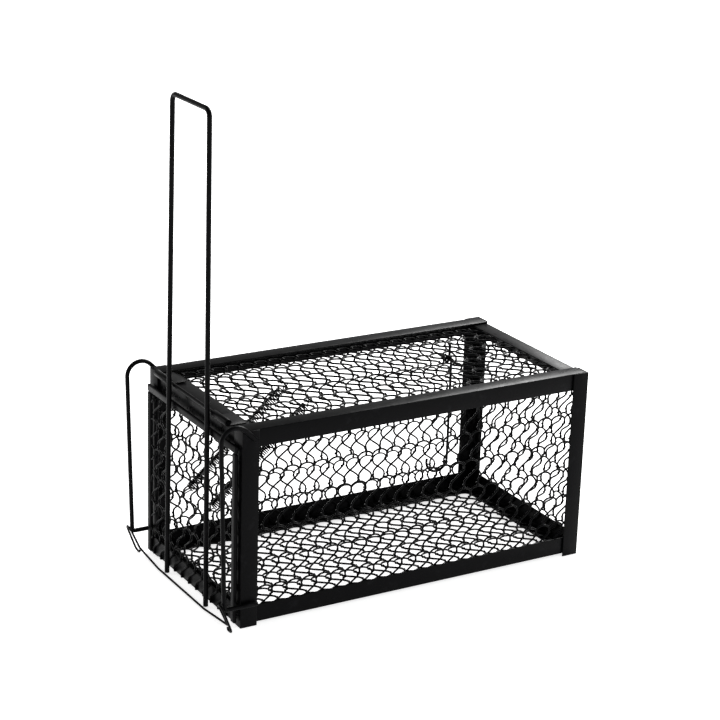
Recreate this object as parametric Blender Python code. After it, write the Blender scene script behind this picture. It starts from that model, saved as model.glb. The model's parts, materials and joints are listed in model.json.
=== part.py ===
"""Live catch cage trap: an angle-iron cage closed with wire netting, one sprung door.

The door leaf hangs from a rod along the top front edge. A tall wire loop is fixed to the
same rod: laid back over the cage it lifts the door, and the top of the bait hook holds it.
Two tension springs pull the door shut, and a wire bail drops down the two front bows.

Units are metres, +Z is up, the door end faces -Y. Lengths below are from the cage's centre,
and every piece is then shifted so that the origin is under the middle of the whole object.
"""
import math

import bmesh
import bpy
from mathutils import Vector
from mathutils.geometry import tessellate_polygon

MM = 0.001

# ---- driving sizes ----------------------------------------------------------------------
cage_length = 265 * MM          # along Y, over the posts
cage_width = 137 * MM           # along X, over the posts
cage_height = 133 * MM          # from under the bottom rails to over the top rails
foot_drop = 2 * MM              # the posts stand this far below the bottom rails
angle_leg = 12 * MM             # width of each flange of the folded angle strip
sheet = 1.0 * MM                # thickness of the folded strip
gap = 0.3 * MM                  # clearance between pieces that touch

net_thickness = 1.0 * MM        # the netting panels
net_pitch = 26 * MM             # centre to centre of the openings
net_web = 2.2 * MM              # material between two openings
smallest_opening = 0.25         # openings cut smaller by the rim than this are left out

rod_radius = 1.25 * MM          # hinge rod
rod_overhang = 1.0 * MM         # rod past the straps
strap_sheet = 0.8 * MM          # straps that hold the rod
strap_clearance = 2.2 * MM      # between the straps and the long rails
strap_width = 20 * MM
strap_tail = 9 * MM             # flat part of a strap on the front rail
strap_curl = 290                # degrees that a strap wraps round the rod
rod_forward = 2.3 * MM          # rod axis in front of the posts' faces

leaf_side_inset = 3.0 * MM      # leaf's edge from the posts' outer faces
leaf_bottom_z = 2.9 * MM
leaf_strip = 5 * MM             # visible width of the strip folded round the leaf's edge
leaf_foot_strip = 11.8 * MM      # height of the wide strip along the leaf's foot
leaf_thickness = 2.4 * MM
leaf_clearance = 1.1 * MM       # between the posts' faces and the leaf
leaf_top_lap = 3.0 * MM         # how far the leaf's top laps the front rail's flange

loop_radius = 1.7 * MM          # wire of the tall setting loop
loop_rise = 195.4 * MM          # from the hinge axis to the middle of the loop's end bar
loop_strap_gap = 1.8 * MM       # between the loop's legs and the straps
loop_taper = 3.5 * MM           # each leg leans in by this much
loop_lean = 4 * MM              # the loop's end stands this far to the right
loop_corner = 5 * MM
loop_stub_z = 4.3 * MM          # lower ends of the loop's legs

bow_radius = 1.5 * MM           # guide bows, on the outer sides of the front posts
bow_reach_top = 16.1 * MM       # how far a bow stands in front of the posts
bow_reach_bottom = 12.7 * MM
bow_foot_z = 16.5 * MM
bow_crest = 4.5 * MM            # crest above the top rails
bow_crest_reach = 2 * MM        # where the crest starts, in front of the posts
bow_top_lap = 9 * MM            # the upper end lies this far back on the post's side
bow_top_drop = 6 * MM           # and this far below the top
bow_foot_lap = 11 * MM          # length of the foot that lies along the post's side
bow_bends = [10 * MM, 9.5 * MM, 2.5 * MM]

bail_radius = 0.75 * MM         # lock bail
bail_z = 1.9 * MM               # cross wire at rest
bail_forward = 8.4 * MM         # cross wire in front of the posts' faces
bail_eye_height = 18.7 * MM     # how far an eye rises to the front of its bow
bail_side_gap = 0.8 * MM        # between an eye's strands and the bow
bail_tail_share = 0.82          # an eye's free strand, as a share of the other strand
bail_bend_share = 0.96          # bend radius of an eye, as a share of half its width

spring_x = 17 * MM
spring_coil_radius = 2.3 * MM   # middle of the wire
spring_wire = 0.45 * MM
spring_turns = 20
spring_turn_steps = 8           # points in one turn
spring_low_z = 59.5 * MM        # lower hook on the leaf
spring_top_y = -55 * MM         # upper hook under the top netting
spring_top_drop = 3.1 * MM      # upper pivot under the top netting
spring_hook_low = 8 * MM        # length of the lower hook along the spring
spring_hook_top = 6 * MM
spring_eye = 1.5 * MM           # radius of the hooks' eyes
spring_eye_turn = 300           # degrees of wire round an eye
spring_eye_steps = 12
spring_shank_bend = 0.6         # where a hook's shank bends in, as a share of its length

hook_radius = 0.9 * MM          # bait hook wire
hook_clearance = 0.9 * MM       # between the set loop's end bar and the hook
hook_pin_radius = 0.8 * MM
hook_pin_half = 15 * MM
hook_lip_rise = 2.9 * MM        # middle of the lip above the top of the set loop's bar
hook_lip = 1.6 * MM             # how far the lip reaches forward
hook_low_z = 60 * MM            # where the shank starts to curl
hook_curl = 8.4 * MM            # radius of the bait hook's curl
hook_eye_shift = 1.3 * MM       # sideways shift of the wire on each side of its eye
hook_eye_steps = 14
hook_lip_bend = 1.3 * MM
hook_neck = 3.0                 # straight run below the eye starts this many eye radii down
hook_curl_turn = 195            # degrees
hook_curl_steps = 9

round_steps = 5                 # points on each rounded wire bend
strap_curl_steps = 16
wire_sides = 2                  # bevel resolution: eight sides

# ---- places worked out from the sizes ------------------------------------------------------
half_w = cage_width / 2
half_l = cage_length / 2
top_z = foot_drop + cage_height
layer = sheet + gap             # one strip inside the next
inner_x = half_w - 2 * layer
inner_y = half_l - 2 * layer
inner_top = top_z - 2 * layer
inner_bottom = foot_drop + 2 * layer

rod_y = -half_l - rod_forward
rod_z = top_z - layer + gap + strap_sheet + gap + rod_radius
loop_y = rod_y - rod_radius - gap - loop_radius
strap_outer_x = half_w - layer - angle_leg - strap_clearance
strap_inner_x = strap_outer_x - strap_width
rod_half_length = strap_outer_x + rod_overhang
loop_half_bottom = strap_inner_x - loop_strap_gap - loop_radius
loop_half_top = loop_half_bottom - loop_taper
leaf_half_width = half_w - leaf_side_inset
leaf_back_y = -half_l - leaf_clearance
leaf_front_y = leaf_back_y - leaf_thickness
leaf_mid_y = (leaf_back_y + leaf_front_y) / 2
leaf_top_z = top_z - layer - angle_leg + leaf_top_lap

bow_x = half_w + gap + bow_radius
bow_top_y = -half_l - bow_reach_top
bow_foot_y = -half_l - bow_reach_bottom
bow_lean = (bow_reach_top - bow_reach_bottom) / (top_z + bow_crest - bow_foot_z)

set_bar_y = rod_y + loop_rise                   # the loop's end bar when the trap is set
set_bar_z = rod_z + (rod_y - loop_y)
hook_y = set_bar_y + loop_radius + hook_clearance + hook_radius
hook_eye_radius = hook_pin_radius + gap + hook_radius
pin_y = hook_y - hook_eye_radius
pin_z = inner_top + gap + hook_pin_radius

spring_low = Vector((0, leaf_mid_y + net_thickness / 2 + gap + spring_wire, spring_low_z))
spring_top = Vector((0, spring_top_y, inner_top - net_thickness - spring_top_drop))

# the bows stand in front of the cage, so the middle of the whole object is further forward
shift = Vector((0, (bow_reach_top + bow_radius) / 2, 0))

BLACK = (0.018, 0.018, 0.020)


def clear_scene():
    for old in list(bpy.data.objects):
        bpy.data.objects.remove(old, do_unlink=True)


def paint(name, roughness, metallic):
    """Black paint on steel, one material for each kind of surface."""
    material = bpy.data.materials.new(name)
    material.use_nodes = True
    shader = material.node_tree.nodes["Principled BSDF"]
    shader.inputs["Base Color"].default_value = (*BLACK, 1)
    shader.inputs["Roughness"].default_value = roughness
    shader.inputs["Metallic"].default_value = metallic
    return material


def add_object(name, data, material, pivot):
    """Link an object whose data is measured from pivot, its turning point."""
    data.materials.append(material)
    piece = bpy.data.objects.new(name, data)
    piece.location = pivot + shift
    bpy.context.scene.collection.objects.link(piece)
    return piece


def mesh_object(name, bm, material, pivot=Vector()):
    bmesh.ops.recalc_face_normals(bm, faces=bm.faces)
    bmesh.ops.translate(bm, verts=bm.verts, vec=-pivot)
    mesh = bpy.data.meshes.new(name)
    bm.to_mesh(mesh)
    bm.free()
    return add_object(name, mesh, material, pivot)


def prism(outline, along):
    """Close a flat outline into a solid by extruding it along a vector."""
    bm = bmesh.new()
    face = bm.faces.new([bm.verts.new(p) for p in outline])
    made = bmesh.ops.extrude_face_region(bm, geom=[face])
    raised = [g for g in made["geom"] if isinstance(g, bmesh.types.BMVert)]
    bmesh.ops.translate(bm, verts=raised, vec=along)
    return bm


def angle_strip(name, corner, leg_a, leg_b, along, material):
    """L-section strip: corner is one end of its outer edge, the legs point inward from it."""
    a = Vector(leg_a)
    b = Vector(leg_b)
    section = [(0, 0), (angle_leg, 0), (angle_leg, sheet), (sheet, sheet), (sheet, angle_leg), (0, angle_leg)]
    outline = [Vector(corner) + a * u + b * v for u, v in section]
    return mesh_object(name, prism(outline, Vector(along)), material)


def block(name, low, high, material, pivot=Vector()):
    low = Vector(low)
    high = Vector(high)
    size = high - low
    steps = [(0, 0), (size.x, 0), (size.x, size.y), (0, size.y)]
    outline = [low + Vector((x, y, 0)) for x, y in steps]
    return mesh_object(name, prism(outline, Vector((0, 0, size.z))), material, pivot)


def rounded(corners, radius, steps=round_steps):
    """Points along a bent wire: straight runs between corners, with an arc at each corner."""
    corners = [Vector(c) for c in corners]
    radii = radius if isinstance(radius, (list, tuple)) else [radius] * (len(corners) - 2)
    points = [corners[0]]
    for before, here, after, bend in zip(corners, corners[1:], corners[2:], radii):
        into = (before - here).normalized()
        out = (after - here).normalized()
        half = into.angle(out) / 2
        reach = bend / math.tan(half)
        centre = here + (into + out).normalized() * (bend / math.sin(half))
        start = here + into * reach - centre
        finish = here + out * reach - centre
        sweep = start.angle(finish)
        for step in range(steps + 1):
            share = step / steps
            arc = start * math.sin((1 - share) * sweep) + finish * math.sin(share * sweep)
            points.append(centre + arc / math.sin(sweep))
    points.append(corners[-1])
    return points


def wire(name, points, radius, material, pivot=Vector(), resolution=wire_sides):
    """Round wire along a list of points, with flat ends."""
    curve = bpy.data.curves.new(name, "CURVE")
    curve.dimensions = "3D"
    curve.bevel_depth = radius
    curve.bevel_resolution = resolution
    curve.use_fill_caps = True
    curve.twist_mode = "MINIMUM"
    spline = curve.splines.new("POLY")
    spline.points.add(len(points) - 1)
    for slot, point in zip(spline.points, points):
        slot.co = (*(Vector(point) - pivot), 1)
    return add_object(name, curve, material, pivot)


def clip_to_window(outline, window):
    """Cut a convex outline to the rectangle (low u, high u, low v, high v)."""
    low_u, high_u, low_v, high_v = window
    sides = [(0, low_u, 1), (0, high_u, -1), (1, low_v, 1), (1, high_v, -1)]
    for axis, limit, sign in sides:
        kept = []
        for here, after in zip(outline, outline[1:] + outline[:1]):
            inside = (here[axis] - limit) * sign >= 0
            next_inside = (after[axis] - limit) * sign >= 0
            if inside:
                kept.append(here)
            if inside != next_inside:
                share = (limit - here[axis]) / (after[axis] - here[axis])
                kept.append(tuple(h + (a - h) * share for h, a in zip(here, after)))
        outline = kept
        if len(outline) < 3:
            return []
    return outline


def area(outline):
    pairs = zip(outline, outline[1:] + outline[:1])
    return abs(sum(a[0] * b[1] - a[1] * b[0] for a, b in pairs)) / 2


def hex_openings(window, anchor):
    """Staggered six-sided openings that fill a window, with one centred on anchor."""
    hole = (net_pitch - net_web) / 2 / math.cos(math.pi / 6)
    row_step = net_pitch * math.sin(math.pi / 3)
    low_u, high_u, low_v, high_v = window
    first_row = math.floor((low_v - anchor[1]) / row_step) - 1
    last_row = math.ceil((high_v - anchor[1]) / row_step) + 1
    openings = []
    for row in range(first_row, last_row + 1):
        v = anchor[1] + row * row_step
        start = anchor[0] + (net_pitch / 2 if row % 2 else 0)
        first = math.floor((low_u - start) / net_pitch) - 1
        last = math.ceil((high_u - start) / net_pitch) + 1
        for column in range(first, last + 1):
            u = start + column * net_pitch
            turns = [math.radians(30 + 60 * k) for k in range(6)]
            corners = [(u + hole * math.cos(t), v + hole * math.sin(t)) for t in turns]
            opening = clip_to_window(corners, window)
            if opening and area(opening) > smallest_opening * hole * hole:
                openings.append(opening)
    return openings


def netting(name, origin, u_axis, v_axis, size, window, anchor, material, pivot=Vector()):
    """Netting panel: a flat plate with six-sided openings inside its window."""
    origin = Vector(origin)
    u_axis = Vector(u_axis)
    v_axis = Vector(v_axis)
    (low_u, low_v), (high_u, high_v) = size
    rim = [(low_u, low_v), (high_u, low_v), (high_u, high_v), (low_u, high_v)]
    outlines = [rim] + hex_openings(window, anchor)
    flat = [point for outline in outlines for point in outline]
    triangles = tessellate_polygon([[Vector((u, v, 0)) for u, v in outline] for outline in outlines])
    normal = u_axis.cross(v_axis)
    bm = bmesh.new()
    verts = [bm.verts.new(origin + u_axis * u + v_axis * v) for u, v in flat]
    for triangle in triangles:
        bm.faces.new([verts[i] for i in triangle])
    made = bmesh.ops.extrude_face_region(bm, geom=list(bm.faces))
    raised = [g for g in made["geom"] if isinstance(g, bmesh.types.BMVert)]
    bmesh.ops.translate(bm, verts=raised, vec=normal * net_thickness)
    return mesh_object(name, bm, material, pivot)


def build_frame(material):
    """Four posts and the angle strips between them, each one layer inside the next."""
    names = {-1: "left", 1: "right"}
    ends = {-1: "front", 1: "rear"}
    long_run = 2 * (half_l - layer)
    cross_run = 2 * (half_w - 2 * layer)
    for side in (-1, 1):
        for end in (-1, 1):
            corner = (side * half_w, end * half_l, 0)
            name = f"{ends[end]}_{names[side]}_post"
            angle_strip(name, corner, (-side, 0, 0), (0, -end, 0), (0, 0, top_z), material)
        rail_x = side * (half_w - layer)
        start_y = -half_l + layer
        angle_strip(f"top_{names[side]}_rail", (rail_x, start_y, top_z), (-side, 0, 0), (0, 0, -1),
                    (0, long_run, 0), material)
        angle_strip(f"bottom_{names[side]}_rail", (rail_x, start_y, foot_drop), (-side, 0, 0), (0, 0, 1),
                    (0, long_run, 0), material)
    start_x = -half_w + 2 * layer
    for end in (-1, 1):
        rail_y = end * (half_l - layer)
        angle_strip(f"top_{ends[end]}_rail", (start_x, rail_y, top_z - layer), (0, -end, 0), (0, 0, -1),
                    (cross_run, 0, 0), material)
        angle_strip(f"bottom_{ends[end]}_rail", (start_x, rail_y, foot_drop + layer), (0, -end, 0), (0, 0, 1),
                    (cross_run, 0, 0), material)


def build_netting(material):
    """Five fixed panels, inside the frame's flanges."""
    clear = angle_leg + gap
    window_x = half_w - clear
    window_y = half_l - clear
    low_z = foot_drop + clear
    high_z = top_z - layer - clear
    wall_low = inner_bottom + net_thickness + gap
    wall_high = inner_top - net_thickness - gap
    flat_size = ((-inner_x, -inner_y), (inner_x, inner_y))
    flat_window = (-window_x, window_x, -window_y, window_y)
    netting("top_net", (0, 0, inner_top - net_thickness), (1, 0, 0), (0, 1, 0), flat_size, flat_window,
            (0, hook_y), material)
    netting("floor_net", (0, 0, inner_bottom), (1, 0, 0), (0, 1, 0), flat_size, flat_window, (0, 0), material)
    middle_z = (low_z + high_z) / 2
    side_size = ((-inner_y, wall_low), (inner_y, wall_high))
    side_window = (-window_y, window_y, low_z, high_z)
    for side, name in ((-1, "left_net"), (1, "right_net")):
        start_x = inner_x - net_thickness if side > 0 else -inner_x
        netting(name, (start_x, 0, 0), (0, 1, 0), (0, 0, 1), side_size, side_window, (0, middle_z), material)
    rear_half = inner_x - net_thickness - gap
    rear_size = ((-rear_half, wall_low), (rear_half, wall_high))
    netting("rear_net", (0, inner_y, 0), (1, 0, 0), (0, 0, 1), rear_size,
            (-window_x, window_x, low_z, high_z), (0, middle_z), material)


def strap_outline(side):
    """Section of a hinge strap: flat on the front rail, then curled up round the rod."""
    inner = rod_radius + gap
    outer = inner + strap_sheet
    tail_y = rod_y + rod_forward + layer + strap_tail
    centre = Vector((0, rod_y, rod_z))
    angles = [math.radians(270 - strap_curl * k / strap_curl_steps) for k in range(strap_curl_steps + 1)]
    outside = [centre + Vector((0, math.cos(a), math.sin(a))) * outer for a in angles]
    inside = [centre + Vector((0, math.cos(a), math.sin(a))) * inner for a in angles]
    flat_low = Vector((0, tail_y, rod_z - outer))
    flat_high = Vector((0, tail_y, rod_z - inner))
    start_x = strap_inner_x if side > 0 else -strap_inner_x - strap_width
    return [p + Vector((start_x, 0, 0)) for p in [flat_low] + outside + inside[::-1] + [flat_high]]


def build_hinge_and_bows(sheet_paint, wire_paint):
    for side, name in ((-1, "left"), (1, "right")):
        strap = prism(strap_outline(side), Vector((strap_width, 0, 0)))
        mesh_object(f"{name}_hinge_strap", strap, sheet_paint)
        x = side * bow_x
        path = [
            (x, -half_l + bow_top_lap, top_z - bow_top_drop),
            (x, -half_l - bow_crest_reach, top_z + bow_crest),
            (x, bow_top_y, top_z + bow_crest),
            (x, bow_foot_y, bow_foot_z),
            (x, -half_l + bow_foot_lap, bow_foot_z),
        ]
        wire(f"{name}_guide_bow", rounded(path, bow_bends), bow_radius, wire_paint)


def build_door(sheet_paint, wire_paint, net_paint):
    """Everything that turns with the hinge rod: rod, tall loop and the netting leaf."""
    pivot = Vector((0, rod_y, rod_z))
    wire("hinge_rod", [(-rod_half_length, rod_y, rod_z), (rod_half_length, rod_y, rod_z)], rod_radius,
         wire_paint, pivot)
    bar_z = rod_z + loop_rise
    legs = [
        (-loop_half_bottom, loop_y, loop_stub_z),
        (loop_lean - loop_half_top, loop_y, bar_z),
        (loop_lean + loop_half_top, loop_y, bar_z),
        (loop_half_bottom, loop_y, loop_stub_z),
    ]
    wire("setting_loop", rounded(legs, loop_corner), loop_radius, wire_paint, pivot)
    block("door_bottom_strip", (-leaf_half_width, leaf_front_y, leaf_bottom_z),
          (leaf_half_width, leaf_back_y, leaf_bottom_z + leaf_foot_strip), sheet_paint, pivot)
    strip_low = leaf_bottom_z + leaf_foot_strip + gap
    strip_high = leaf_top_z - leaf_strip - gap
    block("door_top_strip", (-leaf_half_width, leaf_front_y, leaf_top_z - leaf_strip),
          (leaf_half_width, leaf_back_y, leaf_top_z), sheet_paint, pivot)
    block("door_left_strip", (-leaf_half_width, leaf_front_y, strip_low),
          (-leaf_half_width + leaf_strip, leaf_back_y, strip_high), sheet_paint, pivot)
    block("door_right_strip", (leaf_half_width - leaf_strip, leaf_front_y, strip_low),
          (leaf_half_width, leaf_back_y, strip_high), sheet_paint, pivot)
    net_half = leaf_half_width - leaf_strip - gap
    rim = net_web
    window = (-net_half + rim, net_half - rim, strip_low + rim, strip_high - rim)
    netting("door_net", (0, leaf_mid_y + net_thickness / 2, 0), (1, 0, 0), (0, 0, 1),
            ((-net_half, strip_low), (net_half, strip_high)), window, (0, (strip_low + strip_high) / 2),
            net_paint, pivot)


def build_bail(wire_paint):
    """Cross wire with an eye at each end that runs round the front of a guide bow."""
    cross_y = -half_l - bail_forward
    strand = bow_radius + bail_side_gap + bail_radius
    front_z = bail_z + bail_eye_height
    run_y = bow_foot_y - bow_lean * (front_z - bow_foot_z)
    front_y = run_y - strand
    low = Vector((0, cross_y, bail_z))
    front = Vector((0, front_y, front_z))
    tail = front + (low - front) * bail_tail_share

    def eye(side):
        inner = side * (bow_x - strand)
        outer = side * (bow_x + strand)
        return [low + Vector((inner, 0, 0)), front + Vector((inner, 0, 0)),
                front + Vector((outer, 0, 0)), tail + Vector((outer, 0, 0))]

    corners = eye(-1)[::-1] + eye(1)
    bend = strand * bail_bend_share
    wire("lock_bail", rounded(corners, [bend] * (len(corners) - 2)), bail_radius, wire_paint, low)


def build_springs(wire_paint):
    """Two tension springs from the leaf to the top netting, each as a coil and two hooks."""
    for side, name in ((-1, "left"), (1, "right")):
        low = spring_low + Vector((side * spring_x, 0, 0))
        top = spring_top + Vector((side * spring_x, 0, 0))
        axis = (top - low).normalized()
        across = Vector((1, 0, 0))
        upward = axis.cross(across)
        coil_low = low + axis * spring_hook_low
        coil_top = top - axis * spring_hook_top
        coil_length = (coil_top - coil_low).length
        steps = spring_turns * spring_turn_steps
        points = []
        for step in range(steps + 1):
            turn = 2 * math.pi * spring_turns * step / steps
            around = across * math.cos(turn) + upward * math.sin(turn)
            points.append(coil_low + axis * (coil_length * step / steps) + around * spring_coil_radius)
        wire(f"{name}_spring_coil", points, spring_wire, wire_paint, top, 0)
        for end, tip, base, outward in (("top", top, coil_top, axis), ("bottom", low, coil_low, -axis)):
            near = base + outward * (2 * spring_wire + gap)
            centre = tip - outward * spring_eye
            shank = centre - outward * spring_eye
            points = [near, near.lerp(shank, spring_shank_bend)]
            for step in range(spring_eye_steps + 1):
                turn = math.radians(spring_eye_turn * step / spring_eye_steps - 90)
                points.append(centre + (outward * math.sin(turn) + across * math.cos(turn)) * spring_eye)
            wire(f"{name}_spring_{end}_hook", points, spring_wire, wire_paint, tip, 1)


def build_bait_hook(wire_paint):
    """Bait hook: hangs through the top netting, and its upper end catches the set loop."""
    pin_ends = [(-hook_pin_half, pin_y, pin_z), (hook_pin_half, pin_y, pin_z)]
    wire("trigger_pivot_pin", pin_ends, hook_pin_radius, wire_paint)
    lip_z = set_bar_z + loop_radius + hook_lip_rise
    lip = [(-hook_eye_shift, hook_y - hook_lip, lip_z), (-hook_eye_shift, hook_y, lip_z),
           (-hook_eye_shift, hook_y, pin_z + hook_radius)]
    points = rounded(lip, hook_lip_bend)
    for step in range(hook_eye_steps + 1):
        turn = 2 * math.pi * step / hook_eye_steps
        x = hook_eye_shift * (2 * step / hook_eye_steps - 1)
        y = pin_y + hook_eye_radius * math.cos(turn)
        z = pin_z - hook_eye_radius * math.sin(turn)
        points.append((x, y, z))
    points.append((hook_eye_shift, hook_y, pin_z - hook_neck * hook_eye_radius))
    for step in range(hook_curl_steps + 1):
        turn = -math.radians(hook_curl_turn * step / hook_curl_steps)
        y = hook_y - hook_curl + hook_curl * math.cos(turn)
        z = hook_low_z + hook_curl * math.sin(turn)
        points.append((hook_eye_shift, y, z))
    wire("bait_hook", points, hook_radius, wire_paint, Vector((0, pin_y, pin_z)))


def main():
    clear_scene()
    sheet_paint = paint("painted_sheet", 0.42, 0.0)
    wire_paint = paint("painted_wire", 0.32, 0.0)
    net_paint = paint("painted_netting", 0.30, 0.0)
    build_frame(sheet_paint)
    build_netting(net_paint)
    build_hinge_and_bows(sheet_paint, wire_paint)
    build_door(sheet_paint, wire_paint, net_paint)
    build_bail(wire_paint)
    build_springs(wire_paint)
    build_bait_hook(wire_paint)


main()
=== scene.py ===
# %% [markdown]
# # A wire cage trap
# This script dresses a finished mechanical model of a live catch trap. Good pieces keep
# their shape and get a better finish. Where the model is only a simple stand-in, such
# as a plate for the wire netting, a finer piece is made and takes over.

# %% Load the frame
import json
import math

import bpy
from mathutils import Matrix, Vector


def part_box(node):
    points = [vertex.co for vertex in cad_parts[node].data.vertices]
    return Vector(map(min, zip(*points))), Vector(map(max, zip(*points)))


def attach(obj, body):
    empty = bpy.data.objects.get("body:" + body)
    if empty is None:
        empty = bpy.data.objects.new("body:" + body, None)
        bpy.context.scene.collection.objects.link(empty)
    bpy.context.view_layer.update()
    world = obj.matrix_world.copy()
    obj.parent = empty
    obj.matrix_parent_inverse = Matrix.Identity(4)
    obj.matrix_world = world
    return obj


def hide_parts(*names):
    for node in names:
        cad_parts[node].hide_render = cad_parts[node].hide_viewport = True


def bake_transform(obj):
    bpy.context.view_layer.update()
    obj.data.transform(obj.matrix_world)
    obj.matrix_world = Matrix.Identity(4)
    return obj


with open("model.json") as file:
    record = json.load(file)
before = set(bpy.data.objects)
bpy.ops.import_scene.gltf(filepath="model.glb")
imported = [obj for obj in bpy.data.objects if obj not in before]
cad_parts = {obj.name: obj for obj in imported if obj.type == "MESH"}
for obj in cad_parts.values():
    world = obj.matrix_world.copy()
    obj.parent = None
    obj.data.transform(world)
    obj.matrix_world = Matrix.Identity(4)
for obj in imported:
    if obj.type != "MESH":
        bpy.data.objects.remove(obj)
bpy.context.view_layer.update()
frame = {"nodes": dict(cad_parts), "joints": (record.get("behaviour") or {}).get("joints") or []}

MM = 0.001

# %% [markdown]
# ## Camera
# A product picture is taken from some way off with a long lens, so that upright edges
# stay nearly parallel. The camera looks from above the door end, a little past the corner,
# and it is rolled by less than two degrees.

# %% Camera
VIEW_AZIMUTH = math.radians(59.19)
VIEW_ELEVATION = math.radians(18.97)
VIEW_ROLL = math.radians(1.84)
AIM = Vector((-7.0, 4.3, 140.4)) * MM
DISTANCE = 1.4388
across = Vector((math.cos(VIEW_AZIMUTH), math.sin(VIEW_AZIMUTH), 0))
towards = Vector((
    math.sin(VIEW_AZIMUTH) * math.cos(VIEW_ELEVATION),
    -math.cos(VIEW_AZIMUTH) * math.cos(VIEW_ELEVATION),
    math.sin(VIEW_ELEVATION),
))
upward = towards.cross(across)
rolled_across = across * math.cos(VIEW_ROLL) + upward * math.sin(VIEW_ROLL)
rolled_up = upward * math.cos(VIEW_ROLL) - across * math.sin(VIEW_ROLL)
camera_data = bpy.data.cameras.new("camera")
camera_data.sensor_width = 36
camera_data.lens = 105.97
camera = bpy.data.objects.new("camera", camera_data)
bpy.context.scene.collection.objects.link(camera)
turn = Matrix((rolled_across, rolled_up, towards)).transposed().to_4x4()
camera.matrix_world = Matrix.Translation(AIM + towards * DISTANCE) @ turn
bpy.context.scene.camera = camera
print("camera at", tuple(round(v, 4) for v in camera.location))

# %% [markdown]
# ## Helpers
# A node function keeps the materials short: it adds a node, sets it up and links its
# inputs. Colours are written as the sRGB hex values of a paint chart, and the renderer
# wants linear values, so one function converts them.

# %% Helpers for materials
def linear(code):
    """sRGB hex such as '1a1a1c' to a linear RGBA colour."""
    values = [int(code[i:i + 2], 16) / 255 for i in (0, 2, 4)]
    return (*[v / 12.92 if v <= 0.04045 else ((v + 0.055) / 1.055) ** 2.4 for v in values], 1)


def node(tree, kind, settings=None, **links):
    """Add a node; settings are attributes, links are inputs: a value, or a socket."""
    made = tree.nodes.new(kind)
    for name, value in (settings or {}).items():
        setattr(made, name, value)
    for name, value in links.items():
        socket = made.inputs[name.replace("_", " ")]
        if isinstance(value, bpy.types.NodeSocket):
            tree.links.new(value, socket)
        else:
            socket.default_value = value
    return made


def new_material(name):
    material = bpy.data.materials.new(name)
    material.use_nodes = True
    material.node_tree.nodes.clear()
    return material, material.node_tree


# %% [markdown]
# ## Black enamel on folded strip
# The frame is mild steel strip, folded to an angle and dipped in black stoving enamel.
# The enamel flows out glossy, but strip that comes off a coil isn't flat: long shallow
# waves bend its reflections, fine orange peel blurs them, and a few pale scuffs and dust
# specks from handling break up the black. Wave length, peel and specks are real sizes,
# turned into noise scales: a scale is the number of features in a metre.

# %% Enamel for strip
SCUFF_MM = 7.0                  # size of the scuffs
SHEEN = 0.045                   # the enamel is so black that its reflections are weak too


def enamel(name, dark, light, gloss, wave_mm, peel_mm, wave_height, peel_height):
    """Enamel from dark to scuffed; wave and peel have a size and a height, all in mm."""
    material, tree = new_material(name)
    place = node(tree, "ShaderNodeTexCoord").outputs["Object"]
    wave = node(tree, "ShaderNodeTexNoise", Vector=place, Scale=1000 / wave_mm, Detail=2.0)
    peel = node(tree, "ShaderNodeTexNoise", Vector=place, Scale=1000 / peel_mm, Detail=3.0)
    scuff = node(tree, "ShaderNodeTexNoise", Vector=place, Scale=1000 / SCUFF_MM, Detail=8.0,
                 Roughness=0.7)
    worn = node(tree, "ShaderNodeMapRange", Value=scuff.outputs["Fac"], From_Min=0.56, From_Max=0.74)
    colour = node(tree, "ShaderNodeMix", {"data_type": "RGBA"})
    tree.links.new(worn.outputs["Result"], colour.inputs["Factor"])
    colour.inputs["A"].default_value = linear(dark)
    colour.inputs["B"].default_value = linear(light)
    rough = node(tree, "ShaderNodeMapRange", Value=scuff.outputs["Fac"], From_Min=0.3, From_Max=0.75,
                 To_Min=gloss, To_Max=gloss + 0.18)
    waves = node(tree, "ShaderNodeBump", Height=wave.outputs["Fac"], Strength=1.0,
                 Distance=wave_height * MM)
    both = node(tree, "ShaderNodeBump", Height=peel.outputs["Fac"], Strength=1.0,
                Distance=peel_height * MM, Normal=waves.outputs["Normal"])
    shader = node(tree, "ShaderNodeBsdfPrincipled", Roughness=rough.outputs["Result"],
                  Normal=both.outputs["Normal"])
    tree.links.new(colour.outputs["Result"], shader.inputs["Base Color"])
    shader.inputs["IOR"].default_value = 1.5
    shader.inputs["Specular IOR Level"].default_value = SHEEN
    node(tree, "ShaderNodeOutputMaterial", Surface=shader.outputs["BSDF"])
    return material


strip_enamel = enamel("stoved enamel on steel strip", "050506", "131315", 0.24, 24, 0.9, 0.25, 0.012)

# %% [markdown]
# ## Enamel on wire and on netting
# Wire is dipped in the same enamel. On a thin round wire the coat is smooth and glossy,
# so each wire shows one fine bright line along its length. The netting is dipped once it
# is woven: enamel gathers in the twists as small lumps, so its coat is a little rougher.

# %% Enamel for wire, netting and spring
wire_enamel = enamel("dipped enamel on drawn wire", "060607", "161618", 0.22, 9, 0.6, 0.05, 0.01)
net_enamel = enamel("dipped enamel on hexagonal netting", "050506", "141416", 0.24, 4, 0.7, 0.05, 0.02)
spring_enamel = enamel("enamel on a spring coil", "070708", "1c1c1e", 0.26, 3, 0.4, 0.03, 0.01)

# %% [markdown]
# ## Tools for wire
# A wire is a path with a round section. In Blender a curve with a bevel gives the tube and
# its caps, and `convert` turns it into a mesh. Bends are arcs between straight runs.

# %% Helpers for pieces
def deselect_all():
    bpy.ops.object.select_all(action="DESELECT")


def make_active(piece):
    deselect_all()
    piece.select_set(True)
    bpy.context.view_layer.objects.active = piece


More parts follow.
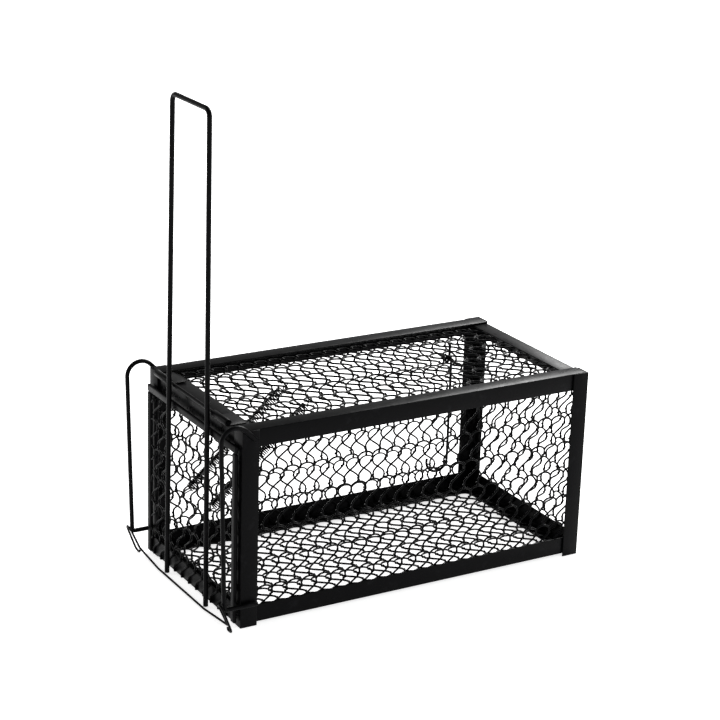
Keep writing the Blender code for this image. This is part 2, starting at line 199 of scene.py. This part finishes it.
def arc_path(corners, bends, steps=8):
    """Points of a bent wire: straight runs between corners, with an arc at each corner."""
    corners = [Vector(c) for c in corners]
    bends = bends if isinstance(bends, list) else [bends] * (len(corners) - 2)
    points = [corners[0]]
    for before, here, after, bend in zip(corners, corners[1:], corners[2:], bends):
        into = (before - here).normalized()
        out = (after - here).normalized()
        half = into.angle(out) / 2
        reach = bend / math.tan(half)
        centre = here + (into + out).normalized() * (bend / math.sin(half))
        start = here + into * reach - centre
        finish = here + out * reach - centre
        sweep = start.angle(finish)
        for step in range(steps + 1):
            share = step / steps
            spot = start * math.sin((1 - share) * sweep) + finish * math.sin(share * sweep)
            points.append(centre + spot / math.sin(sweep))
    points.append(corners[-1])
    return points


def tube(name, points, radius, sides):
    """Round wire along points, with closed ends, as a mesh at the origin."""
    curve = bpy.data.curves.new(name, "CURVE")
    curve.dimensions = "3D"
    curve.bevel_depth = radius
    curve.bevel_resolution = max(0, sides // 2 - 2)
    curve.use_fill_caps = True
    spline = curve.splines.new("POLY")
    spline.points.add(len(points) - 1)
    for slot, point in zip(spline.points, points):
        slot.co = (*point, 1)
    piece = bpy.data.objects.new(name, curve)
    bpy.context.scene.collection.objects.link(piece)
    make_active(piece)
    bpy.ops.object.convert(target="MESH")
    return bpy.context.view_layer.objects.active


def smooth(piece, degrees):
    """Shade a piece smooth, but keep edges that turn by more than this angle."""
    make_active(piece)
    bpy.ops.object.shade_smooth_by_angle(angle=math.radians(degrees))


def join(name, pieces):
    """Join meshes into one piece."""
    deselect_all()
    for piece in pieces:
        piece.select_set(True)
    bpy.context.view_layer.objects.active = pieces[0]
    bpy.ops.object.join()
    joined = bpy.context.view_layer.objects.active
    joined.name = name
    joined.data.name = name
    return joined


def hand_over(piece, body, material, stands_for):
    """Give a piece its finish, its body and the node that it stands for."""
    piece.data.materials.clear()
    piece.data.materials.append(material)
    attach(piece, body)
    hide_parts(stands_for)
    print(piece.name, len(piece.data.polygons), "faces")


def middle(name):
    low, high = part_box(name)
    return (Vector(low) + Vector(high)) / 2


# %% [markdown]
# ## Wire netting
# The panels are hexagonal netting: wires that twist round each other in pairs and part
# again. Cut askew and pulled tight, its cells lean: every long link is an S that leans by
# almost one mesh, and at its foot it parts into two short legs. The legs of neighbours meet
# and start the next S. One link with its legs is modelled, then two Array modifiers repeat it
# along and across, and four bisect cuts trim the sheet to its panel and close the wires.

# %% One mesh of the netting
MESH_ALONG = 10.9 * MM          # from one link to the next in a row
MESH_DOWN = 20.0 * MM           # from one row to the next
ROW_SHIFT = 4.5 * MM            # each row starts this far to the side of the last
NET_WIRE = 0.67 * MM            # radius of the enamelled wire
LEG_RISE = 3.6 * MM             # how far the legs fall from the foot of an S
LEAN_START = 1.6 * MM           # an S hangs straight before and after its lean
LEAN_RUN = 10.5 * MM
LEAN = ROW_SHIFT + MESH_ALONG / 2
TWIST = 2.6 * MM                # how far two wires run round each other at each end of a leg
TWIST_TURNS = 0.8               # turns in that length
TWIST_FADE = 1.6                # the wires part within this many twist lengths
TWIST_OFFSET = NET_WIRE * 1.3   # how far the second wire winds from the first
SECOND_WIRE = NET_WIRE * 0.95
NET_SIDES = 6


def ease(share):
    share = min(1, max(0, share))
    return share * share * (3 - 2 * share)


def link_points(steps=14):
    """The S of one link, from its head at the origin down to its foot."""
    drop = MESH_DOWN - LEG_RISE
    points = []
    for step in range(steps + 1):
        down = drop * step / steps
        lean = LEAN * ease((down - LEAN_START) / LEAN_RUN)
        points.append(Vector((-lean, -down, 0)))
    return points


def leg_points(side, steps=6):
    """A leg from the foot of an S round to the head of a neighbour: a quarter of an arch."""
    foot = Vector((-LEAN, -(MESH_DOWN - LEG_RISE), 0))
    points = []
    for step in range(1, steps + 1):
        swing = math.pi / 2 * step / steps
        reach = side * math.sin(swing) * MESH_ALONG / 2
        points.append(foot + Vector((reach, -LEG_RISE * (1 - math.cos(swing)), 0)))
    return points


link = link_points()
main_wire = link + leg_points(1)
extra_foot = link[-4:] + leg_points(-1)
extra_head = [p + Vector((-LEAN - MESH_ALONG / 2, -MESH_DOWN, 0)) for p in link[1:4]]
second_wire = extra_foot + extra_head
twisted = []
length = sum((b - a).length for a, b in zip(second_wire, second_wire[1:]))
run = 0
for index, point in enumerate(second_wire):
    if index:
        run += (point - second_wire[index - 1]).length
    near_end = min(run, length - run) / TWIST
    angle = math.pi / 2 + 2 * math.pi * TWIST_TURNS * run / TWIST
    offset = TWIST_OFFSET * ease(TWIST_FADE - near_end)
    twisted.append(point + Vector((math.cos(angle), 0, math.sin(angle))) * offset)
print("mesh", MESH_ALONG, MESH_DOWN, "wire points", len(main_wire), len(twisted))


# %% A panel of netting
def array(piece, count, step):
    make_active(piece)
    repeat = piece.modifiers.new("repeat", "ARRAY")
    repeat.count = count
    repeat.use_relative_offset = False
    repeat.use_constant_offset = True
    repeat.constant_offset_displace = step
    bpy.ops.object.modifier_apply(modifier="repeat")


def cut(piece, spot, normal):
    """Cut away what lies in front of a plane and close the cut wires."""
    make_active(piece)
    bpy.ops.object.mode_set(mode="EDIT")
    bpy.ops.mesh.select_all(action="SELECT")
    bpy.ops.mesh.bisect(plane_co=spot, plane_no=normal, use_fill=True, clear_outer=True)
    bpy.ops.object.mode_set(mode="OBJECT")


def netting(name, size_u, size_v, crest, lean_side):
    """Sheet of netting, u to the right and v up, centred on the origin, with a crest at a point."""
    first = tube(name + "_wire", main_wire, NET_WIRE, NET_SIDES)
    second = tube(name + "_second", twisted, SECOND_WIRE, NET_SIDES)
    sheet = join(name, [first, second])
    rows = math.ceil(size_v / MESH_DOWN) + 3
    columns = math.ceil((size_u + rows * ROW_SHIFT) / MESH_ALONG) + 4
    array(sheet, columns, (MESH_ALONG, 0, 0))
    array(sheet, rows, (-ROW_SHIFT, -MESH_DOWN, 0))
    start_row = math.ceil((size_v / 2 - crest[1]) / MESH_DOWN) + 1
    foot = Vector((-LEAN, -(MESH_DOWN - LEG_RISE), 0))
    move = Vector((crest[0], crest[1], 0)) - foot + Vector((ROW_SHIFT, MESH_DOWN, 0)) * start_row
    left = -size_u / 2 - MESH_ALONG * 2
    back = math.floor((move.x - left) / MESH_ALONG)
    move.x -= back * MESH_ALONG
    sheet.data.transform(Matrix.Translation(move))
    if lean_side < 0:
        sheet.data.transform(Matrix.Diagonal((-1, 1, 1, 1)))
        sheet.data.flip_normals()
    for side in (-1, 1):
        cut(sheet, (side * size_u / 2, 0, 0), (side, 0, 0))
        cut(sheet, (0, side * size_v / 2, 0), (0, side, 0))
    return sheet


def place_sheet(sheet, u_axis, v_axis, centre):
    """Turn a sheet to its panel's two directions and move it there."""
    u_axis = Vector(u_axis)
    v_axis = Vector(v_axis)
    turn_to = Matrix((u_axis, v_axis, u_axis.cross(v_axis))).transposed().to_4x4()
    sheet.data.transform(Matrix.Translation(centre) @ turn_to)


# %% The six panels
FREE = 0.6 * MM                 # trimmed from each side, so that the wire clears the frame
FORWARD = 0.3 * MM              # the leaf's netting lies in front of its foot strip
NET_SMOOTH = 70                 # degrees
PANELS = [
    # node, body, u axis, v axis, crest (u, v) from the panel's centre, lean
    ("right_net", "cage", (0, 1, 0), (0, 0, 1), (-19.5, 37.2), 1),
    ("left_net", "cage", (0, 1, 0), (0, 0, 1), (14.0, 34.0), -1),
    ("top_net", "cage", (0, 1, 0), (-1, 0, 0), (-62.5, 37.5), -1),
    ("floor_net", "cage", (0, 1, 0), (-1, 0, 0), (-58.0, 30.0), -1),
    ("rear_net", "cage", (1, 0, 0), (0, 0, 1), (6.0, 31.0), 1),
    ("door_net", "door", (1, 0, 0), (0, 0, 1), (9.5, 41.0), 1),
]
for name, body, u_axis, v_axis, crest, lean_side in PANELS:
    low, high = [Vector(corner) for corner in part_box(name)]
    if name == "door_net":
        low.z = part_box("door_bottom_strip")[0][2]
        low.y -= FORWARD
        high.y -= FORWARD
    span = high - low
    size_u = abs(span.dot(Vector(u_axis))) - FREE
    size_v = abs(span.dot(Vector(v_axis))) - FREE
    crest_u = crest[0] * lean_side * MM
    sheet = netting(name + "_wires", size_u, size_v, (crest_u, crest[1] * MM), lean_side)
    place_sheet(sheet, u_axis, v_axis, (low + high) / 2)
    smooth(sheet, NET_SMOOTH)
    hand_over(sheet, body, net_enamel, name)

# %% [markdown]
# ## Angle strip
# The frame's strips are folded, so their outer edge is a soft bend, not a knife edge. The
# model's strips are sharp: each gets a copy with its doubles merged and a small bevel, which
# catches a thin line of light along every edge. The hinge straps are cut from thin strip, and
# their sheared edges keep a smaller bevel.

# %% Soften the strips
FOLD_EDGE = 0.38 * MM           # width of the bevel on the frame's strips
CUT_EDGE = 0.2 * MM             # and on sheared edges
SHARP_ANGLE = 40                # degrees; flatter edges get no bevel
STRIP_SMOOTH = 35
WELD = 0.01 * MM                # the model's loose triangles join within this distance


def round_edges(piece, width, segments=3):
    make_active(piece)
    bevel = piece.modifiers.new("soft edge", "BEVEL")
    bevel.width = width
    bevel.segments = segments
    bevel.limit_method = "ANGLE"
    bevel.angle_limit = math.radians(SHARP_ANGLE)
    bevel.use_clamp_overlap = True
    bpy.ops.object.modifier_apply(modifier="soft edge")
    smooth(piece, STRIP_SMOOTH)


def soften(name, body, width, segments=3):
    """Copy of a model's piece with its edges rounded."""
    source = frame["nodes"][name]
    piece = source.copy()
    piece.data = source.data.copy()
    piece.name = name + "_finish"
    piece.parent = None
    piece.matrix_world = Matrix()
    bpy.context.scene.collection.objects.link(piece)
    make_active(piece)
    bpy.ops.object.mode_set(mode="EDIT")
    bpy.ops.mesh.select_all(action="SELECT")
    bpy.ops.mesh.remove_doubles(threshold=WELD)
    bpy.ops.mesh.dissolve_limited(angle_limit=math.radians(1))
    bpy.ops.object.mode_set(mode="OBJECT")
    round_edges(piece, width, segments)
    hand_over(piece, body, strip_enamel, name)


STRIPS = [f"{end}_{side}_post" for end in ("front", "rear") for side in ("left", "right")]
STRIPS += [f"{level}_{side}_rail" for level in ("top", "bottom") for side in ("left", "right")]
STRIPS += [f"{level}_{end}_rail" for level in ("top", "bottom") for end in ("front", "rear")]
for name in STRIPS:
    soften(name, "cage", FOLD_EDGE)
for name in ("left_hinge_strap", "right_hinge_strap"):
    soften(name, "cage", CUT_EDGE, 2)

# %% [markdown]
# ## Strips of the leaf
# Narrow strip is folded round the leaf's top and sides, so its edges are round. The wide
# strip along the foot lies behind the netting, whose wires cross in front of it.

# %% Strips of the leaf
FOLD = 0.9 * MM                 # radius of the folded edges
FOOT_SHEET = 0.8 * MM


def leaf_strip(name, low, high, width):
    """A strip between two corners, with its edges rounded."""
    bpy.ops.mesh.primitive_cube_add(size=1, location=(low + high) / 2)
    piece = bpy.context.view_layer.objects.active
    piece.name = name + "_finish"
    piece.scale = high - low
    bpy.ops.object.transform_apply(location=True, rotation=False, scale=True)
    round_edges(piece, width)
    hand_over(piece, "door", strip_enamel, name)


foot_low, foot_high = [Vector(corner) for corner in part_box("door_bottom_strip")]
for name in ("door_top_strip", "door_left_strip", "door_right_strip"):
    low, high = [Vector(corner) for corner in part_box(name)]
    if name != "door_top_strip":
        low.z = foot_low.z
    leaf_strip(name, low, high, FOLD)
side_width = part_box("door_left_strip")[1][0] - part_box("door_left_strip")[0][0]
foot_low.x += side_width
foot_high.x -= side_width
foot_low.y = foot_high.y - FOOT_SHEET
leaf_strip("door_bottom_strip", foot_low, foot_high, CUT_EDGE)

# %% [markdown]
# ## Door wires
# The hinge rod and the tall setting loop are drawn wire. The model has them with eight sides.
# Here they are redrawn round, with easier bends.

# %% Rod and setting loop
WIRE_SMOOTH = 50                # degrees


def round_wire(name, body, points, radius, sides=16, material=wire_enamel):
    """A round wire that takes the place of a wire of the model."""
    piece = tube(name + "_round", points, radius, sides)
    smooth(piece, WIRE_SMOOTH)
    hand_over(piece, body, material, name)


def straight_wire(name, body):
    """A straight wire along X, as thick as the model's."""
    low, high = [Vector(corner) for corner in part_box(name)]
    radius = (high.z - low.z) / 2
    centre = (low + high) / 2
    ends = [Vector((low.x, centre.y, centre.z)), Vector((high.x, centre.y, centre.z))]
    round_wire(name, body, ends, radius)


straight_wire("hinge_rod", "door")
straight_wire("trigger_pivot_pin", "cage")

LOOP_RADIUS = 1.7 * MM
loop_low, loop_high = [Vector(corner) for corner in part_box("setting_loop")]
loop_y = (loop_low.y + loop_high.y) / 2
loop_bar = loop_high.z - LOOP_RADIUS
half_foot = -loop_low.x - LOOP_RADIUS
LOOP_TAPER = 3.5 * MM           # each leg leans in by this much
LOOP_LEAN = 4 * MM              # and the end of the loop stands this far to the right
LOOP_BEND = 5 * MM
STUB_END = 0.9 * MM             # the legs reach down past the leaf, almost to the ground
half_bar = half_foot - LOOP_TAPER
loop_corners = [
    (-half_foot, loop_y, STUB_END),
    (LOOP_LEAN - half_bar, loop_y, loop_bar),
    (LOOP_LEAN + half_bar, loop_y, loop_bar),
    (half_foot, loop_y, STUB_END),
]
round_wire("setting_loop", "door", arc_path(loop_corners, LOOP_BEND, 12), LOOP_RADIUS, 20)
print("loop", loop_bar, half_foot)

# %% [markdown]
# ## Guide bows and lock bail
# A bow of thinner wire stands in front of each front post. Both its ends lie along the post's
# outer side: it comes forward near the top, runs down in front of the post and turns back
# near the post's foot. The lock bail is one thin wire with a long narrow eye at each end, and
# its eyes hang on the bows. Wire is bent round a pin, so no bend is sharp, and each bend is an
# arc with its own radius.

# %% Guide bows
BOW_RADIUS = 1.5 * MM
BOW_REACH = 16.1 * MM           # in front of the posts
BOW_LEAN = 3.4 * MM             # the foot stands this much nearer to the post
CREST_REACH = 2 * MM            # where the crest starts, in front of the posts
TOP_LAP = 9 * MM                # the upper end lies this far back on the post's side
TOP_DROP = 6 * MM               # and this far below the rail's top
FOOT_LAP = 11 * MM              # length of the foot that lies along the post's side
BOW_BENDS = [10 * MM, 9.5 * MM, 2.5 * MM]
rail_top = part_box("top_left_rail")[1][2]
post_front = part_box("front_left_post")[0][1]
for side, name in ((-1, "left"), (1, "right")):
    low, high = [Vector(corner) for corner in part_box(f"{name}_guide_bow")]
    x = (low.x + high.x) / 2
    bow_front = post_front - BOW_REACH
    bow_foot = low.z + BOW_RADIUS
    crest = high.z - BOW_RADIUS
    bow_corners = [
        (x, post_front + TOP_LAP, rail_top - TOP_DROP),
        (x, post_front - CREST_REACH, crest),
        (x, bow_front, crest),
        (x, bow_front + BOW_LEAN, bow_foot),
        (x, post_front + FOOT_LAP, bow_foot),
    ]
    bow_points = arc_path(bow_corners, BOW_BENDS, 12)
    round_wire(f"{name}_guide_bow", "cage", bow_points, BOW_RADIUS)

# %% Lock bail
BAIL_RADIUS = 0.75 * MM
BULGE = 1.0 * MM                # the cross wire stands forward in its middle
CROSS_END_RISE = 2.2 * MM       # and its ends rise to the eyes
CROSS_BEND = 20 * MM
EYE_LOW = 1.0 * MM              # foot of an eye, just off the ground
bail_low, bail_high = [Vector(corner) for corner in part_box("lock_bail")]
bow_x = middle("right_guide_bow").x
strand = bail_high.x - BAIL_RADIUS - bow_x
cross_y = bail_high.y - BAIL_RADIUS
cross_z = bail_low.z + BAIL_RADIUS
head_y = bail_low.y + BAIL_RADIUS
head_z = bail_high.z - BAIL_RADIUS


def bail_eye(side):
    """Corners of an eye: up the inner strand, over the bow, down outside and closed below."""
    inner = side * (bow_x - strand)
    outer = side * (bow_x + strand)
    return [
        (inner, cross_y, cross_z + CROSS_END_RISE),
        (inner, head_y, head_z),
        (outer, head_y, head_z),
        (outer, cross_y, EYE_LOW),
        (inner, cross_y, EYE_LOW),
        (inner, cross_y, cross_z + CROSS_END_RISE - 2 * BAIL_RADIUS),
    ]


cross_middle = [(side * bow_x / 2, cross_y - BULGE, cross_z) for side in (-1, 1)]
bail_line = bail_eye(-1)[::-1] + cross_middle + bail_eye(1)
ROUND_BEND = strand * 0.96      # an eye's ends are almost half circles
EYE_BENDS = [0.8 * MM, ROUND_BEND, ROUND_BEND, ROUND_BEND, 1.2 * MM]
bail_bends = EYE_BENDS[::-1] + [CROSS_BEND, CROSS_BEND] + EYE_BENDS
bail_points = arc_path(bail_line, bail_bends, 10)
round_wire("lock_bail", "lock_bail", bail_points, BAIL_RADIUS, 14)
print("bail", len(bail_points), "points")

# %% [markdown]
# ## Springs
# Two tension springs run from the leaf up to the top netting and pull the door shut. A
# tension spring is wound tight, turn on turn, and stretched open a little in use. The coil is
# a helix worked out from its wire and its pitch. It stretches between two bodies: its top
# turns with the upper hook, and its foot slides with the lower hook; the coil is made in the
# shut pose only and hangs on neither body. Each end of the wire runs in from the coil's side
# to its middle line and ends in a small hook.

# %% Spring coils and hooks
SPRING_WIRE = 0.45 * MM
COIL_RADIUS = 2.7 * MM
SPRING_PITCH = 1.3 * MM
SPRING_LENGTH = 104.42 * MM     # between the hooks' tips, with the door shut
TOP_HOOK = 6 * MM
LOW_HOOK = 8 * MM
TURN_POINTS = 16
COIL_SMOOTH = 60                # degrees
HOOK_EYE = 1.5 * MM             # radius of the hooks' eyes
NECK_STEPS = 8
EYE_SWEEP = 300                 # degrees that a hook's eye is bent round
EYE_TURN_STEPS = 18
for side, name in ((-1, "left"), (1, "right")):
    x = middle(f"{name}_spring_coil").x
    joint = next(j for j in frame["joints"] if j["name"] == f"{name}_spring_swing")
    slide = next(j for j in frame["joints"] if j["name"] == f"{name}_spring_stretch")
    top = Vector((x, joint["pos_m"][1], joint["pos_m"][2]))
    down = Vector(slide["axis"]).normalized()
    start = top + down * TOP_HOOK
    finish = top + down * (SPRING_LENGTH - LOW_HOOK)
    turns = round((finish - start).length / SPRING_PITCH)
    sideways = Vector((1, 0, 0))
    other = down.cross(sideways)
    points = []
    for step in range(turns * TURN_POINTS + 1):
        turn_angle = 2 * math.pi * step / TURN_POINTS
        around = sideways * math.cos(turn_angle) + other * math.sin(turn_angle)
        points.append(start.lerp(finish, step / (turns * TURN_POINTS)) + around * COIL_RADIUS)
    coil = tube(f"{name}_spring_coil_fine", points, SPRING_WIRE, 8)
    smooth(coil, COIL_SMOOTH)
    coil.data.materials.clear()
    coil.data.materials.append(spring_enamel)
    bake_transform(coil)
    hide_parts(f"{name}_spring_coil")
    ends = (("top", top, start, -down, f"{name}_spring_upper"),
            ("bottom", top + down * SPRING_LENGTH, finish, down, f"{name}_spring_lower"))
    for end, tip, base, out, body in ends:
        centre = tip - out * HOOK_EYE
        neck = centre - out * HOOK_EYE
        hook = []
        for step in range(NECK_STEPS):
            share = step / NECK_STEPS
            swing = math.pi / 2 * share
            ring = sideways * math.cos(swing) * COIL_RADIUS * (1 - share)
            hook.append(base + ring + out * (neck - base).dot(out) * share)
        for step in range(EYE_TURN_STEPS + 1):
            swing = math.radians(EYE_SWEEP * step / EYE_TURN_STEPS - 90)
            around = out * math.sin(swing) + sideways * math.cos(swing)
            hook.append(centre + around * HOOK_EYE)
        node_name = f"{name}_spring_{end}_hook"
        round_wire(node_name, body, hook, SPRING_WIRE, 10, spring_enamel)
    print(name, "spring", turns, "turns")

# %% [markdown]
# ## Bait hook
# The bait hook is one wire. It hangs from a cross pin under the top netting by a full turn,
# the lip at its upper end catches the bar of the laid-back loop, and its long shank ends in a
# curl for the bait.

# %% Bait hook
HOOK_RADIUS = 0.9 * MM
hook_joint = next(j for j in frame["joints"] if j["name"] == "bait_hook_swing")
pin_y, pin_z = hook_joint["pos_m"][1], hook_joint["pos_m"][2]
hook_low, hook_high = [Vector(corner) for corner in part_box("bait_hook")]
shift_x = hook_high.x - HOOK_RADIUS
shank_y = hook_high.y - HOOK_RADIUS
eye_radius = shank_y - pin_y
lip_z = hook_high.z - HOOK_RADIUS
LIP = 1.6 * MM                  # how far the upper end is bent back over the loop's bar
LIP_BEND = 1.3 * MM
EYE_STEPS = 28
CURL = 8.4 * MM                 # radius of the curl
CURL_SWEEP = 195                # degrees
CURL_STEPS = 24
curl_z = hook_low.z + HOOK_RADIUS + CURL
lip = [
    (-shift_x, shank_y - LIP, lip_z),
    (-shift_x, shank_y, lip_z),
    (-shift_x, shank_y, pin_z + HOOK_RADIUS),
]
hook_points = arc_path(lip, LIP_BEND)
for step in range(EYE_STEPS + 1):
    swing = 2 * math.pi * step / EYE_STEPS
    x = shift_x * (2 * step / EYE_STEPS - 1)
    y = pin_y + eye_radius * math.cos(swing)
    z = pin_z - eye_radius * math.sin(swing)
    hook_points.append(Vector((x, y, z)))
hook_points.append(Vector((shift_x, shank_y, pin_z - 3 * eye_radius)))
for step in range(CURL_STEPS + 1):
    swing = -math.radians(CURL_SWEEP * step / CURL_STEPS)
    y = shank_y - CURL + CURL * math.cos(swing)
    hook_points.append(Vector((shift_x, y, curl_z + CURL * math.sin(swing))))
round_wire("bait_hook", "bait_hook", hook_points, HOOK_RADIUS, 14)

# %% [markdown]
# ## Floor and light
# The trap stands on white paper that is lit from below too, so that its shadow stays weak.
# A large light hangs behind and above, two small ones stand to the sides, and the room is dim: black
# enamel then shows as black, with bright lines only along its edges and its wires.

# %% Floor
FLOOR_SIZE = 14.0
PAPER_GLOW = 0.75               # light that comes through the paper from below
PAPER_GRAIN_MM = 2.5
bpy.ops.mesh.primitive_plane_add(size=FLOOR_SIZE, location=(0, 0, 0))
floor = bpy.context.view_layer.objects.active
floor.name = "floor"
paper, paper_tree = new_material("white paper sweep")
paper_place = node(paper_tree, "ShaderNodeTexCoord").outputs["Object"]
paper_grain = node(paper_tree, "ShaderNodeTexNoise", Vector=paper_place, Scale=1000 / PAPER_GRAIN_MM,
                   Detail=4.0)
paper_bump = node(paper_tree, "ShaderNodeBump", Height=paper_grain.outputs["Fac"], Strength=0.1,
                  Distance=0.2 * MM)
paper_shader = node(paper_tree, "ShaderNodeBsdfPrincipled", Roughness=0.9,
                    Normal=paper_bump.outputs["Normal"])
paper_shader.inputs["Base Color"].default_value = linear("f6f6f6")
paper_shader.inputs["Emission Color"].default_value = (1, 1, 1, 1)
paper_shader.inputs["Emission Strength"].default_value = PAPER_GLOW
node(paper_tree, "ShaderNodeOutputMaterial", Surface=paper_shader.outputs["BSDF"])
floor.data.materials.append(paper)

# %% Lights
world = bpy.data.worlds.new("studio")
bpy.context.scene.world = world
world.use_nodes = True
sky = world.node_tree.nodes["Background"]
sky.inputs["Color"].default_value = (1, 1, 1, 1)
sky.inputs["Strength"].default_value = 0.4


def soft_light(name, spot, target, size, power):
    """A rectangular light at a spot, turned to face the target."""
    data = bpy.data.lights.new(name, "AREA")
    data.shape = "RECTANGLE"
    data.size = size[0]
    data.size_y = size[1]
    data.energy = power
    light = bpy.data.objects.new(name, data)
    bpy.context.scene.collection.objects.link(light)
    light.location = spot
    light.rotation_euler = (Vector(target) - Vector(spot)).to_track_quat("-Z", "Y").to_euler()


LIGHT_TARGET = (0, 0, 0.1)
soft_light("overhead", (-0.9, 1.5, 1.2), LIGHT_TARGET, (1.2, 0.8), 60)
soft_light("door side", (-1.3, -1.5, 0.9), LIGHT_TARGET, (0.8, 0.8), 7)
soft_light("rim", (1.6, 1.2, 0.7), LIGHT_TARGET, (0.3, 0.9), 9)
bpy.context.scene.view_settings.view_transform = "Standard"
